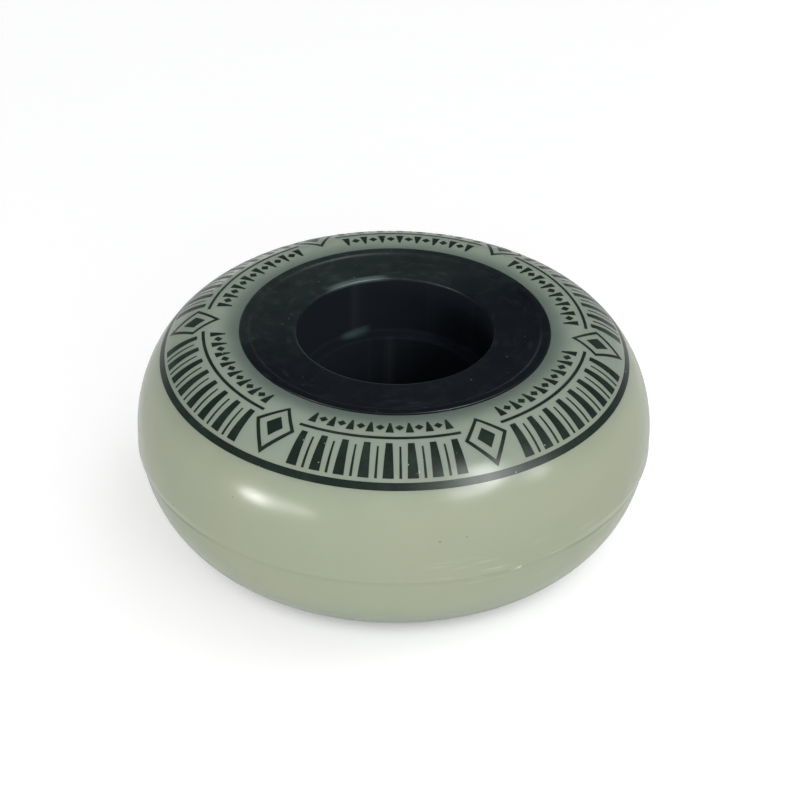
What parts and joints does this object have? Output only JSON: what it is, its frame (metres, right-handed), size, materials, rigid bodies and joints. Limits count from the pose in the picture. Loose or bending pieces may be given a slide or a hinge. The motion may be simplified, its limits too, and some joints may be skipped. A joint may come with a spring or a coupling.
{
  "type": "inline skate wheel",
  "caption": "Small inline skate wheel: pale rounded urethane tyre with a printed ring, cast round a black hub with an open bearing seat in each side.",
  "frame": {"origin": "the wheel's centre: on its axle, halfway between its two sides", "axes": "+Z along the axle, up out of the printed side; the wheel is round, so +X and +Y are any two directions across it"},
  "size_m": [0.058, 0.058, 0.0246],
  "materials": {
    "urethane": "gloss",
    "nylon": "satin",
    "ink": "satin"
  },
  "bodies": {
    "root": {"tyre": "urethane", "hub": "nylon"}
  },
  "joints": []
}
